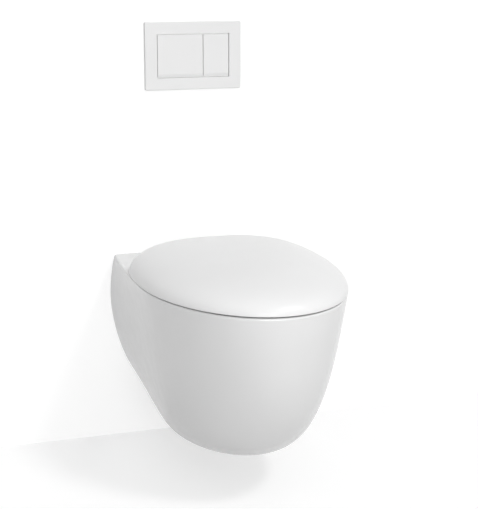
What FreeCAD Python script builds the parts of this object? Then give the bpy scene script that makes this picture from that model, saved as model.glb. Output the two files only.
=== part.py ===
import FreeCAD, Part
import math
import os
import Sketcher
from types import SimpleNamespace

# Concealed cistern toilet, in millimetres.
# Frame: X to the right, Y into the wall, Z up. The origin lies on the floor, midway between
# the two floor bolts of the in-wall frame. The finished wall is the plane Y = -wall_face.

doc = FreeCAD.newDocument("concealed_cistern_toilet")

SIZES = (
    ("wall_face", 95, "finished wall in front of the floor bolts"),
    ("rim_height", 400, "top of the ceramic above the floor"),
    ("pan_width", 392, "widest part of the rim"),
    ("pan_wall_width", 380, "width of the pan where it meets the wall"),
    ("pan_narrowing", 15.5, "how far the wall end draws in towards the ledge, each side"),
    ("pan_projection", 585, "rim front from the wall"),
    ("pan_height", 340, "rim above the level where the pan's form closes below"),
    ("pan_shell", 14, "thickness of the outer ceramic"),
    ("pan_deck", 18, "thickness of the rim and the hinge ledge"),
    ("pan_edge", 4, "rounding of the rim's outer edge"),
    ("rim_side", 58, "rim beside the bowl opening"),
    ("rim_nose", 55, "rim in front of the bowl opening"),
    ("bowl_rear", 170, "rear of the bowl opening from the wall"),
    ("bowl_depth", 308, "lowest level of the bowl below the rim"),
    ("bowl_shell", 10, "thickness of the bowl's ceramic"),
    ("trap_bore", 64, "bore of the trap"),
    ("trap_drop", 6, "trap's lower corner below the bowl's lowest level"),
    ("outlet_drop", 135, "waste outlet below the flush inlet"),
    ("spigot_width", 102, "outside of the waste spigot"),
    ("inlet_drop", 45, "flush inlet below the rim"),
    ("inlet_bore", 55, "bore of the flush inlet"),
    ("stud_spacing", 180, "distance of the two pan studs"),
    ("stud_drop", 35, "pan studs below the flush inlet"),
    ("stud_size", 12, "thread of the pan studs"),
    ("hinge_spacing", 155, "distance of the two seat holes"),
    ("hinge_setback", 76.5, "seat holes and hinge axis from the wall"),
    ("hinge_rise", 12, "hinge axis above the rim"),
    ("hinge_hole", 14, "seat hole in the ledge"),
    ("pin_size", 6, "hinge pin"),
    ("knuckle_size", 13, "outside of the hinge knuckles"),
    ("lid_gap", 3, "lid's lower edge above the rim"),
    ("lid_dome", 58, "height of the lid's dome"),
    ("lid_overhang", 12.5, "lid's edge behind the hinge axis"),
    ("lid_shell", 4, "thickness of the lid"),
    ("seat_gap", 6, "seat's underside above the rim"),
    ("seat_dome", 16, "thickness of the seat"),
    ("seat_inset", 10, "seat's outline inside the lid's outline"),
    ("seat_setback", 15.5, "rear edge of the seat in front of the hinge axis"),
    ("seat_side", 89, "seat ring at its side, to the rim's outline"),
    ("seat_nose", 87, "seat ring at its front, to the rim's outline"),
    ("seat_back", 110, "seat ring at its rear, to the seat's rear edge"),
    ("plate_width", 207, "flush plate"),
    ("plate_height", 139, "flush plate"),
    ("plate_depth", 9, "flush plate in front of the wall"),
    ("plate_centre", 812, "flush plate's centre above the floor"),
    ("plate_corner", 3, "corner rounding of the flush plate"),
    ("window_width", 156, "opening for the buttons"),
    ("window_height", 90, "opening for the buttons"),
    ("full_button_width", 97, "large button"),
    ("button_gap", 1.5, "gap round each button"),
    ("button_depth", 5, "thickness of the buttons"),
    ("button_travel", 6, "stroke of the buttons"),
    ("rod_size", 6, "push rods"),
    ("tank_width", 366, "cistern tank"),
    ("tank_depth", 110, "cistern tank"),
    ("tank_rise", 115, "tank's underside above the flush inlet"),
    ("tank_head", 93, "tank's top above the flush plate's centre"),
    ("tank_wall", 4, "thickness of the tank"),
    ("tank_corner", 12, "upright corner rounding of the tank"),
    ("opening_width", 170, "service opening of the tank"),
    ("opening_height", 100, "service opening of the tank"),
    ("sleeve_wall", 4, "thickness of the access sleeve"),
    ("valve_room", 35, "flush valve's axis in front of the tank's back"),
    ("cage_lip", 3, "flush valve's cage beyond its outlet shank, each side"),
    ("stem_size", 24, "overflow tube of the flush valve"),
    ("lever_arm", 15, "lever shaft above the push rods"),
    ("lever_offset", 25, "lever shaft in front of the flush valve's axis"),
    ("lever_reach", 39, "lift arm of the levers"),
    ("fill_valve_size", 28, "fill valve's tube"),
    ("flush_pipe_size", 45, "outside of the flush pipe"),
    ("flush_pipe_wall", 2.5, "thickness of the flush pipe"),
    ("flush_pipe_bend", 60, "bend radius of the flush pipe"),
    ("waste_size", 90, "outside of the waste bend"),
    ("waste_wall", 3.5, "thickness of the waste bend"),
    ("waste_radius", 80, "bend radius of the waste bend"),
    ("waste_setback", 25, "waste pipe's upright axis behind the floor bolts"),
    ("waste_end", 40, "lower end of the waste bend above the floor"),
    ("tank_play", 7, "gap between the tank and each post"),
    ("post_size", 40, "square post"),
    ("post_wall", 2, "thickness of the posts and rails"),
    ("post_setback", -35, "posts' centre relative to the floor bolts"),
    ("post_bottom", 120, "lower end of the posts"),
    ("rail_gap", 5, "top rail above the tank"),
    ("leg_play", 0.5, "clearance of the leg in its post, each side"),
    ("leg_drop", 20, "upper end of the legs below the pan studs"),
    ("foot_width", 60, "base plate of a foot"),
    ("foot_length", 80, "base plate of a foot"),
    ("foot_plate", 6, "thickness of a base plate"),
    ("floor_hole", 11, "floor bolt hole"),
    ("crossbar_plate", 4, "thickness of the crossbars"),
    ("bracket_reach", 105, "rear wall in front of which the brackets end"),
    ("bracket_hole", 9, "wall bolt hole"),
    ("supply_thread", 20.9, "thread of the supply nipple"),
    ("supply_shank", 24, "nipple's shank through the tank"),
)

sheet = doc.addObject("Spreadsheet::Sheet", "Dims")
for row, (alias, number, note) in enumerate(SIZES, start=1):
    sheet.set("A%d" % row, alias)
    sheet.set("B%d" % row, str(number))
    sheet.setAlias("B%d" % row, alias)
    sheet.set("C%d" % row, note)
doc.recompute()


class Size:
    """A number from the sheet together with the expression it comes from."""

    def __init__(self, number, text):
        self.number = number
        self.text = text

    def __float__(self):
        return float(self.number)

    def __add__(self, other):
        other = size(other)
        return Size(self.number + other.number, "(%s + %s)" % (self.text, other.text))

    def __radd__(self, other):
        return size(other) + self

    def __sub__(self, other):
        other = size(other)
        return Size(self.number - other.number, "(%s - %s)" % (self.text, other.text))

    def __rsub__(self, other):
        return size(other) - self

    def __mul__(self, other):
        other = size(other)
        return Size(self.number * other.number, "(%s * %s)" % (self.text, other.text))

    def __rmul__(self, other):
        return size(other) * self

    def __truediv__(self, other):
        other = size(other)
        return Size(self.number / other.number, "(%s / %s)" % (self.text, other.text))

    def __neg__(self):
        return 0 - self


def size(value):
    if isinstance(value, Size):
        return value
    return Size(float(value), "%.6g" % value if value >= 0 else "(%.6g)" % value)


d = SimpleNamespace()
for alias, number, note in SIZES:
    setattr(d, alias, Size(float(sheet.get(alias)), "Dims." + alias))

# Sizes that follow from the ones in the sheet.
d.pan_base = d.rim_height - d.pan_height
d.bowl_width = d.pan_width - d.rim_side * 2
d.bowl_front = d.pan_projection - d.rim_nose
d.bowl_floor = d.rim_height - d.bowl_depth
d.trap_dip = d.bowl_floor - d.trap_drop
d.inlet_height = d.rim_height - d.inlet_drop
d.stud_height = d.inlet_height - d.stud_drop
d.outlet_height = d.inlet_height - d.outlet_drop
d.lid_rear = d.hinge_setback - d.lid_overhang
d.seat_rear = d.hinge_setback + d.seat_setback
d.seat_opening_width = d.pan_width - d.seat_side * 2
d.seat_opening_front = d.pan_projection - d.seat_nose
d.seat_opening_rear = d.seat_rear + d.seat_back
d.tank_bottom = d.inlet_height + d.tank_rise
d.tank_top = d.plate_centre + d.tank_head
d.valve_setback = d.tank_depth / 2 - d.valve_room
d.lever_setback = d.valve_setback - d.lever_offset
d.shank_size = d.flush_pipe_size + 9
d.housing_size = d.shank_size + d.cage_lip * 2
d.lever_pivot = d.plate_centre + d.lever_arm
d.post_spacing = d.tank_width + d.tank_play * 2 + d.post_size
d.frame_height = d.tank_top + d.rail_gap + d.post_size
d.float_size = d.tank_width * 0.17
d.leg_top = d.stud_height - d.leg_drop
d.leg_size = d.post_size - d.post_wall * 2 - d.leg_play * 2

nodes = []


def vec(x, y, z=0.0):
    return FreeCAD.Vector(float(x), float(y), float(z))


def bind(obj, prop, value):
    obj.setExpression(prop, size(value).text)


def place(obj, x, y, z):
    bind(obj, "Placement.Base.x", x)
    bind(obj, "Placement.Base.y", y)
    bind(obj, "Placement.Base.z", z)


def node(obj, name):
    obj.Label = name
    nodes.append(obj)
    return obj


def box(x, y, z, length, width, height):
    obj = doc.addObject("Part::Box", "Block")
    bind(obj, "Length", length)
    bind(obj, "Width", width)
    bind(obj, "Height", height)
    place(obj, x, y, z)
    return obj


TURN = {
    "X": FreeCAD.Rotation(FreeCAD.Vector(0, 1, 0), 90),
    "Y": FreeCAD.Rotation(FreeCAD.Vector(1, 0, 0), -90),
    "Z": FreeCAD.Rotation(),
}


def rod(axis, x, y, z, diameter, length):
    obj = doc.addObject("Part::Cylinder", "Round")
    bind(obj, "Radius", size(diameter) / 2)
    bind(obj, "Height", length)
    obj.Placement.Rotation = TURN[axis]
    place(obj, x, y, z)
    return obj


def hexagon(axis, x, y, z, across, length):
    obj = doc.addObject("Part::Prism", "Hexagon")
    obj.Polygon = 6
    bind(obj, "Circumradius", size(across) / math.sqrt(3))
    bind(obj, "Height", length)
    obj.Placement.Rotation = TURN[axis]
    place(obj, x, y, z)
    return obj


def fuse(*parts):
    obj = doc.addObject("Part::MultiFuse", "Union")
    obj.Shapes = list(parts)
    obj.Refine = True
    return obj


def cut(base, *tools):
    obj = doc.addObject("Part::Cut", "Difference")
    obj.Base = base
    obj.Tool = tools[0] if len(tools) == 1 else fuse(*tools)
    obj.Refine = True
    return obj


def group(*parts):
    obj = doc.addObject("Part::Compound", "Set")
    obj.Links = list(parts)
    return obj


def tube(axis, x, y, z, outside, inside, length):
    return cut(rod(axis, x, y, z, outside, length), rod(axis, x, y, z, inside, length))


def bare_body(x=0, y=0, z=0):
    body = doc.addObject("PartDesign::Body", "Body")
    place(body, x, y, z)
    return body


def new_body(name, x=0, y=0, z=0):
    return node(bare_body(x, y, z), name)


def sketch_on(body, plane, offset=0):
    sketch = body.newObject("Sketcher::SketchObject", "Sketch")
    support = [f for f in body.Origin.OriginFeatures if f.Role == plane + "_Plane"][0]
    sketch.AttachmentSupport = (support, [""])
    sketch.MapMode = "FlatFace"
    bind(sketch, "AttachmentOffset.Base.z", offset)
    return sketch


def fix_point(sketch, geometry, point, u, v):
    for kind, value in (("DistanceX", u), ("DistanceY", v)):
        rule = Sketcher.Constraint(kind, -1, 1, geometry, point, float(size(value)))
        number = sketch.addConstraint(rule)
        bind(sketch, "Constraints[%d]" % number, value)


def polygon(sketch, points):
    first = sketch.GeometryCount
    count = len(points)
    spots = [vec(float(size(u)), float(size(v))) for u, v in points]
    for i in range(count):
        sketch.addGeometry(Part.LineSegment(spots[i], spots[(i + 1) % count]), False)
    for i in range(count):
        follower = first + (i + 1) % count
        sketch.addConstraint(Sketcher.Constraint("Coincident", first + i, 2, follower, 1))
    for i, (u, v) in enumerate(points):
        fix_point(sketch, first + i, 1, u, v)


def rectangle(sketch, u0, v0, u1, v1):
    polygon(sketch, ((u0, v0), (u1, v0), (u1, v1), (u0, v1)))


def rounded(sketch, half_u, half_v, radius):
    """A rectangle about the sketch origin, with round corners."""
    r = size(radius)
    hu = size(half_u)
    hv = size(half_v)
    ends = (
        ((r - hu, -hv), (hu - r, -hv), (hu - r, r - hv), -90),
        ((hu, r - hv), (hu, hv - r), (hu - r, hv - r), 0),
        ((hu - r, hv), (r - hu, hv), (r - hu, hv - r), 90),
        ((-hu, hv - r), (-hu, r - hv), (r - hu, r - hv), 180),
    )
    first = sketch.GeometryCount
    for start, end, centre, angle in ends:
        sketch.addGeometry(Part.LineSegment(vec(*start), vec(*end)), False)
        circle = Part.Circle(vec(*centre), FreeCAD.Vector(0, 0, 1), float(r))
        arc = Part.ArcOfCircle(circle, math.radians(angle), math.radians(angle + 90))
        sketch.addGeometry(arc, False)
    for i, (start, end, centre, angle) in enumerate(ends):
        line = first + 2 * i
        arc = line + 1
        follower = first + (2 * i + 2) % 8
        sketch.addConstraint(Sketcher.Constraint("Coincident", line, 2, arc, 1))
        sketch.addConstraint(Sketcher.Constraint("Coincident", arc, 2, follower, 1))
        fix_point(sketch, line, 1, *start)
        fix_point(sketch, line, 2, *end)
        number = sketch.addConstraint(Sketcher.Constraint("Radius", arc, float(r)))
        bind(sketch, "Constraints[%d]" % number, r)


def circle(sketch, u, v, diameter):
    radius = size(diameter) / 2
    shape = Part.Circle(vec(size(u), size(v)), FreeCAD.Vector(0, 0, 1), float(radius))
    geometry = sketch.addGeometry(shape, False)
    number = sketch.addConstraint(Sketcher.Constraint("Radius", geometry, float(radius)))
    bind(sketch, "Constraints[%d]" % number, radius)
    fix_point(sketch, geometry, 3, u, v)


def pad(body, sketch, length):
    feature = body.newObject("PartDesign::Pad", "Pad")
    feature.Profile = sketch
    bind(feature, "Length", length)
    sketch.Visibility = False
    return feature


def pocket(body, sketch, depth):
    """Removes material along the sketch normal."""
    feature = body.newObject("PartDesign::Pocket", "Pocket")
    feature.Profile = sketch
    feature.Reversed = True
    bind(feature, "Length", depth)
    sketch.Visibility = False
    return feature


def turned(body, sketch):
    """A full turn of the profile about the body's own Z axis."""
    feature = body.newObject("PartDesign::Revolution", "Turned")
    feature.Profile = sketch
    feature.ReferenceAxis = ([f for f in body.Origin.OriginFeatures if f.Role == "Z_Axis"][0], [""])
    feature.Angle = 360
    sketch.Visibility = False
    return feature


def form(name, shape, y=0):
    """A freely curved piece; its shape is worked out from the sheet's sizes."""
    obj = doc.addObject("Part::Feature", "Form")
    obj.Shape = shape
    obj.Placement = FreeCAD.Placement(vec(0, y), FreeCAD.Rotation())
    return node(obj, name)


# Curves of the ceramic and the seat, seen from above with the wall at Y = 0.

def ramp(h, power, root):
    return max(0.0, 1.0 - h ** power) ** (1.0 / root)


def spread(lines):
    """Curve parameters from the mean distance between neighbouring points."""
    total = 0.0
    places = [0.0]
    for i in range(1, len(lines[0])):
        total += sum((line[i] - line[i - 1]).Length for line in lines) / len(lines)
        places.append(total)
    return [place / total for place in places]


def smooth(rows):
    """A smooth surface through a grid of points."""
    along = spread(rows)
    across = spread(list(zip(*rows)))
    curve = Part.BSplineCurve()
    lines = []
    for row in rows:
        curve.interpolate(Points=row, Parameters=along)
        lines.append(curve.getPoles())
    along_knots = (curve.getMultiplicities(), curve.getKnots())
    grid = []
    for column in zip(*lines):
        curve.interpolate(Points=list(column), Parameters=across)
        grid.append(curve.getPoles())
    across_knots = (curve.getMultiplicities(), curve.getKnots())
    skin = Part.BSplineSurface()
    skin.buildFromPolesMultsKnots(
        grid,
        along_knots[0],
        across_knots[0],
        along_knots[1],
        across_knots[1],
        False,
        False,
        3,
        3,
    )
    return skin.toShape()


def pan_row(h, half, wall_half, narrowing, front, top, bottom, back):
    """One level of the pan's outside, from the right wall edge round the front to the left."""
    z = top - (top - bottom) * h
    side = half * ramp(h, 0.65, 6.0)
    wall = wall_half * ramp(h, 2.47, 2.13) - narrowing * max(0.0, 1.0 - h / 0.38) ** 2
    nose = front * ramp(h, 1.79, 6.0)
    middle = -nose / 2
    right = []
    for i in range(5):
        u = i / 5.0
        right.append((wall + (side - wall) * (1 - (1 - u) ** 2), back + (middle - back) * u))
    for i in range(9):
        turn = math.radians(10 * i)
        right.append((side * math.cos(turn), middle - (nose + middle) * math.sin(turn)))
    left = [(-x, y) for x, y in reversed(right)]
    return [vec(x, y, z) for x, y in right + [(0.0, -nose)] + left]


def pan_solid(half, wall_half, narrowing, front, top, bottom, back, edge):
    """The pan's form between the rim and its base; edge rounds the rim in three narrow bands."""

    def row(inset, h):
        sizes = (half - inset, wall_half - inset, narrowing, front - inset, top, bottom, back)
        return pan_row(h, *sizes)

    first = edge / (top - bottom)
    turns = [math.radians(8 * i) for i in range(11)]
    rows = [row(0.0, first + (1 - first) * math.sin(t)) for t in turns]
    face = smooth(rows)
    upper = min(face.Edges, key=lambda e: abs(e.CenterOfMass.z - rows[0][0].z))
    lower = min(face.Edges, key=lambda e: abs(e.CenterOfMass.z - rows[-1][0].z))
    right = max(face.Edges, key=lambda e: e.CenterOfMass.x)
    left = min(face.Edges, key=lambda e: e.CenterOfMass.x)
    faces = [face]
    sides = [right, left]
    outline = upper
    ends = (rows[0][0], rows[0][-1])
    for i in ((60, 30, 0) if edge > 0 else ()):
        t = math.radians(i)
        points = row(edge * (1 - math.sin(t)), first * (1 - math.cos(t)))
        curve = Part.BSplineCurve()
        curve.interpolate(points)
        faces.append(Part.makeRuledSurface(outline, curve.toShape()))
        sides.append(Part.makeLine(ends[0], points[0]))
        sides.append(Part.makeLine(ends[1], points[-1]))
        outline = curve.toShape()
        ends = (points[0], points[-1])
    top_line = Part.makeLine(*ends)
    base_line = Part.makeLine(rows[-1][0], rows[-1][-1])
    for edges in ([outline, top_line], [lower, base_line], sides + [top_line, base_line]):
        faces.append(Part.Face(Part.Wire(Part.__sortEdges__(edges))))
    shell = Part.Shell(faces)
    shell.sewShape()
    solid = Part.Solid(shell)
    if solid.Volume < 0:
        solid.reverse()
    return solid


def half_egg(half, front, rear, middle, bulge, z):
    """The right half of an egg outline, rear to front; bulge squares up the rear end."""
    points = []
    for i in range(19):
        turn = math.radians(90 - 10 * i)
        c = max(math.cos(turn), 0.0) if 0 < i < 18 else 0.0
        s = math.sin(turn)
        power = 2.0 / bulge if s > 0 else 1.0
        reach = middle - rear if s > 0 else front - middle
        points.append(vec(half * c ** power, math.copysign(reach * abs(s) ** power, s) - middle, z))
    return points


def dome(half, front, rear, bottom, height, power):
    """An egg-shaped dome, steep at its edge and nearly flat at the crown."""
    middle = float(d.pan_projection) / 2
    rows = []
    for turn in (0, 8, 16, 25, 35, 46, 57, 68, 78, 85, 89):
        up = math.sin(math.radians(turn))
        across = (1 - up * up) ** (1 / power)
        back = across ** 0.7
        row = half_egg(
            half * across,
            middle + (front - middle) * across,
            middle - (middle - rear) * back,
            middle,
            3.0,
            bottom + height * up,
        )
        rows.append(row)
    right = smooth(rows)
    left = right.mirror(vec(0, 0), vec(1, 0))
    faces = [right, left]
    for level in (rows[0][0].z, rows[-1][0].z):
        rings = [min(f.Edges, key=lambda e: abs(e.CenterOfMass.z - level)) for f in (right, left)]
        faces.append(Part.Face(Part.Wire(Part.__sortEdges__(rings))))
    shell = Part.Shell(faces)
    shell.sewShape()
    solid = Part.Solid(shell)
    if solid.Volume < 0:
        solid.reverse()
    return solid


def oval(centre, half_x, half_y, z):
    spot = vec(0, -centre, z)
    if half_x > half_y:
        curve = Part.Ellipse(spot, half_x, half_y)
    else:
        curve = Part.Ellipse(vec(0, half_y - centre, z), vec(half_x, -centre, z), spot)
    return Part.Wire([curve.toShape()])


def drop(thickness):
    """The bowl's inside, grown by a thickness."""
    rim = float(d.rim_height)
    low = float(d.bowl_floor)
    wires = []
    for step in (-0.05, 0.0, 0.15, 0.32, 0.5, 0.68, 0.84, 1.0):
        t = max(step, 0.0)
        front = float(d.bowl_front) * (1 - 0.49 * t ** 1.6) + thickness
        rear = float(d.bowl_rear) * (1 + 0.2 * t * t) - thickness
        half = float(d.bowl_width) / 2 * (1 - 0.76 * t ** 1.8) + thickness
        z = rim - (rim - low) * step - (thickness if step == 1.0 else 0.0)
        wires.append(oval((front + rear) / 2, half, (front - rear) / 2, z))
    return Part.makeLoft(wires, True, False)


def eased_hole(half_x, half_y, low, high, edge):
    """The inside of an oval hole whose upper edge is rounded, about the Z axis."""
    bend = vec(half_x + edge * (1 - math.sqrt(0.5)), 0, high - edge * (1 - math.sqrt(0.5)))
    side_end = vec(half_x, 0, high - edge)
    mouth = vec(half_x + edge, 0, high)
    outline = Part.Wire(
        [
            Part.makeLine(vec(0, 0, low), vec(half_x, 0, low)),
            Part.makeLine(vec(half_x, 0, low), side_end),
            Part.Arc(side_end, bend, mouth).toShape(),
            Part.makeLine(mouth, vec(half_x + edge, 0, high + 20)),
            Part.makeLine(vec(half_x + edge, 0, high + 20), vec(0, 0, high + 20)),
            Part.makeLine(vec(0, 0, high + 20), vec(0, 0, low)),
        ]
    )
    solid = Part.Face(outline).revolve(vec(0, 0), vec(0, 0, 1), 360)
    stretch = FreeCAD.Matrix()
    stretch.scale(vec(1, half_y / half_x, 1))
    return solid.transformGeometry(stretch)


def route(points, radii):
    """A path of straight runs with round bends."""
    edges = []
    start = points[0]
    for corner, after, radius in zip(points[1:-1], points[2:], radii):
        into = (corner - start).normalize()
        out = (after - corner).normalize()
        half = into.getAngle(out) / 2
        reach = radius * math.tan(half)
        begin = corner - into * reach
        end = corner + out * reach
        mid = corner + (out - into).normalize() * (radius / math.cos(half) - radius)
        edges.append(Part.makeLine(start, begin))
        edges.append(Part.Arc(begin, mid, end).toShape())
        start = end
    edges.append(Part.makeLine(start, points[-1]))
    return Part.Wire(edges)


def pipe(path, diameter):
    first = path.Edges[0]
    heading = first.tangentAt(first.FirstParameter)
    ring = Part.Wire([Part.makeCircle(diameter / 2, first.valueAt(first.FirstParameter), heading)])
    return path.makePipeShell([ring], True, False)


def bar(diameter, start, end):
    axis = end - start
    return Part.makeCylinder(diameter / 2, axis.Length, start, axis)


def block(x0, x1, y0, y1, z0, z1):
    return Part.makeBox(x1 - x0, y1 - y0, z1 - z0, vec(x0, y0, z0))


# Pan, cast in three pieces that are joined before firing: the body with its rim and ledge, the bowl
# with its flush inlet, and the trap.

n = SimpleNamespace(**{alias: float(value) for alias, value in vars(d).items()})

outside = pan_solid(
    n.pan_width / 2,
    n.pan_wall_width / 2,
    n.pan_narrowing,
    n.pan_projection,
    n.rim_height,
    n.pan_base,
    0.0,
    n.pan_edge,
)
hollow = pan_solid(
    n.pan_width / 2 - n.pan_shell,
    n.pan_wall_width / 2 - n.pan_shell,
    n.pan_narrowing,
    n.pan_projection - n.pan_shell,
    n.rim_height - n.pan_deck,
    n.pan_base + n.pan_shell,
    8.0,
    0.0,
)
sump = (0.51 * n.bowl_front + 1.2 * n.bowl_rear) / 2
trap_path = route(
    (
        vec(0, -sump - 17.85, n.trap_dip + 38),
        vec(0, 32.15 - sump, n.trap_dip),
        vec(0, -115, n.outlet_height),
        vec(0, -8, n.outlet_height),
    ),
    (46.0, 60.0),
)
outlet_end = vec(0, -8, n.outlet_height)
inlet_end = vec(0, -4, n.inlet_height)
back_wall = block(-300, 300, -25, 20, n.stud_height - 32, n.rim_height)
horn = bar(n.inlet_bore + 22, vec(0, -200, n.inlet_height), inlet_end)
spigot = bar(n.spigot_width, vec(0, -80, n.outlet_height), outlet_end)
bowl_solid = drop(n.bowl_shell).fuse(horn)
trap_solid = pipe(trap_path, n.trap_bore + 20).fuse(spigot)
outlet_past = vec(0, 5, n.outlet_height)
openings = [
    drop(0.0),
    pipe(trap_path, n.trap_bore),
    bar(n.trap_bore, vec(0, -20, n.outlet_height), outlet_past),
    bar(n.inlet_bore, vec(0, -50, n.inlet_height), vec(0, 5, n.inlet_height)),
    bar(n.inlet_bore - 13, vec(0, -200, n.inlet_height), vec(0, -40, n.inlet_height)),
]
for side in (-1, 1):
    stud_x = side * n.stud_spacing / 2
    openings.append(bar(24, vec(stud_x, -40, n.stud_height), vec(stud_x, 5, n.stud_height)))
    hinge_x = side * n.hinge_spacing / 2
    low = vec(hinge_x, -n.hinge_setback, n.rim_height - n.pan_deck - 6)
    openings.append(bar(n.hinge_hole, low, vec(hinge_x, -n.hinge_setback, n.rim_height + 5)))
hollow = hollow.cut(back_wall)
castings = {
    "pan": outside.cut(hollow),
    "pan_bowl": hollow.common(bowl_solid),
    "pan_trap": hollow.common(trap_solid).cut(bowl_solid),
}
for name, casting in castings.items():
    for opening in openings:
        casting = casting.cut(opening)
    form(name, casting, -n.wall_face)

# Seat and lid, hinged on one axis above the ledge.

axis_z = n.rim_height + n.hinge_rise
axis_y = -n.hinge_setback
seat_hole = n.hinge_spacing / 2
seat_eye = (seat_hole - 47.5, seat_hole - 31.7)
lid_eye = (seat_hole - 31.3, seat_hole - 16.1)
post_ear = (seat_hole - 15.5, seat_hole - 7.5)


def knuckle(x0, x1, reach, bottom, top):
    """A hinge eye on the pin, with an arm that runs forward into the piece."""
    eye = bar(n.knuckle_size, vec(x0, axis_y, axis_z), vec(x1, axis_y, axis_z))
    arm = block(x0, x1, axis_y - reach, axis_y, bottom, top)
    return eye.fuse(arm)


def pin_bore(x0, x1):
    return bar(n.pin_size + 0.1, vec(x0, axis_y, axis_z), vec(x1, axis_y, axis_z))


lid_low = n.rim_height + n.lid_gap
lid = dome(n.pan_width / 2, n.pan_projection, n.lid_rear, lid_low, n.lid_dome, 2.9)
lid_inside = dome(
    n.pan_width / 2 - n.lid_shell,
    n.pan_projection - n.lid_shell,
    n.lid_rear + n.lid_shell,
    lid_low,
    n.lid_dome - n.lid_shell,
    2.9,
)
lid_full = lid
lid = lid.cut(lid_inside)
swing = block(-300, 300, axis_y, axis_y + 80, n.rim_height - 20, axis_z)
swing = swing.cut(bar(14, vec(-300, axis_y, axis_z), vec(300, axis_y, axis_z)))
lid = lid.cut(swing)
relief = n.knuckle_size + 1
for side in (-1, 1):
    for near, far in ((seat_eye[0] - 0.6, lid_eye[0]), (lid_eye[1], post_ear[1] + 0.6)):
        low_x = min(side * near, side * far)
        start = vec(low_x, axis_y, axis_z)
        lid = lid.cut(bar(relief, start, start + vec(far - near, 0)))
    high_x = low_x + far - near
    notch = block(low_x, high_x, axis_y - relief / 2, axis_y + 40, axis_z - 20, axis_z + relief / 2)
    lid = lid.cut(notch)
for side in (-1, 1):
    inner = side * lid_eye[0]
    outer = side * lid_eye[1]
    eye = bar(n.knuckle_size, vec(inner, axis_y, axis_z), vec(outer, axis_y, axis_z))
    low_x = min(inner, outer)
    web = block(low_x, max(inner, outer), axis_y - 14, axis_y + 3, axis_z - 2, axis_z + 40)
    lid = lid.fuse(eye.fuse(web).common(lid_full))
    lid = lid.cut(pin_bore(inner - 1, outer + 1) if side > 0 else pin_bore(outer - 1, inner + 1))
form("lid", lid, -n.wall_face)

seat_low = n.rim_height + n.seat_gap
seat = dome(
    n.pan_width / 2 - n.seat_inset,
    n.pan_projection - n.seat_inset,
    n.seat_rear,
    seat_low,
    n.seat_dome,
    4.0,
)
seat_form = seat
half_hole = n.seat_opening_width / 2
long_hole = (n.seat_opening_front - n.seat_opening_rear) / 2
opening = eased_hole(half_hole, long_hole, seat_low - 5, seat_low + n.seat_dome, 6.0)
opening.translate(vec(0, -n.seat_opening_rear - long_hole))
seat = seat.cut(opening)
for side in (-1, 1):
    near = min(side * seat_eye[0], side * seat_eye[1])
    far = max(side * seat_eye[0], side * seat_eye[1])
    eye = knuckle(near, far, n.seat_rear - n.hinge_setback + 14, seat_low + 1, axis_z + 4)
    seat = seat.fuse(eye)
    seat = seat.cut(pin_bore(near - 1, far + 1.2))
form("seat", seat.removeSplitter(), -n.wall_face)

pads = []
for side in (-1, 1):
    spot = vec(side * 0.31 * n.pan_width / 2, -0.93 * n.pan_projection, seat_low)
    stem = bar(12, spot, spot + vec(0, 0, 60)).common(lid_inside)
    raised = seat_form.copy()
    raised.translate(vec(0, 0, 0.3))
    pads.append(max(stem.cut(raised).Solids, key=lambda piece: piece.CenterOfMass.z))
form("lid_buffers", Part.makeCompound(pads), -n.wall_face)

wall_y = -d.wall_face
hinge_y = wall_y - d.hinge_setback
hinge_z = d.rim_height + d.hinge_rise

posts = []
pins = []
plugs = []
bolts = []
for side in (-1, 1):
    hole_x = d.hinge_spacing / 2 * side
    ear_x = hole_x - 11.5 * side - 4
    base = rod("Z", hole_x, hinge_y, d.rim_height, 24, 2.5)
    bridge = box(hole_x - 7.5 * side - 8, hinge_y - 6, d.rim_height, 16, 12, 2.5)
    ear = box(ear_x, hinge_y - d.knuckle_size / 2, d.rim_height, 8, d.knuckle_size, d.hinge_rise)
    crown = rod("X", ear_x, hinge_y, hinge_z, d.knuckle_size, 8)
    solid = fuse(base, bridge, ear, crown)
    bore = rod("X", ear_x - 1, hinge_y, hinge_z, d.pin_size, 10)
    screw_hole = rod("Z", hole_x, hinge_y, d.rim_height - 1, 6, 6)
    posts.append(cut(solid, bore, screw_hole))
    pins.append(rod("X", hole_x - 27.5 * side - 20, hinge_y, hinge_z, d.pin_size, 40))
    plug_length = d.pan_deck + 12
    plug_z = d.rim_height - plug_length
    barrel = rod("Z", hole_x, hinge_y, plug_z, d.hinge_hole - 0.04, plug_length)
    collar = rod("Z", hole_x, hinge_y, plug_z, d.hinge_hole + 5, 10)
    plugs.append(cut(fuse(barrel, collar), rod("Z", hole_x, hinge_y, plug_z - 1, 6, plug_length + 2)))
    shank = rod("Z", hole_x, hinge_y, plug_z - 4, 6, plug_length + 6.5)
    head = rod("Z", hole_x, hinge_y, d.rim_height + 2.5, 10, 1.5)
    bolts.append(fuse(shank, head))
node(group(*posts), "hinge_posts")
node(group(*pins), "hinge_pins")
node(group(*plugs), "hinge_plugs")
node(group(*bolts), "hinge_bolts")

seat_pads = []
for side in (-1, 1):
    for ahead, inset in ((d.seat_rear + 108, 36), (d.pan_projection - 105, 73)):
        pad_x = (d.pan_width / 2 - inset) * side
        pad_y = wall_y - ahead
        seat_pads.append(rod("Z", pad_x, pad_y, d.rim_height, 16, d.seat_gap))
node(group(*seat_pads), "seat_buffers")

# Flush plate with its two buttons, held in a sleeve through the wall.

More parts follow.
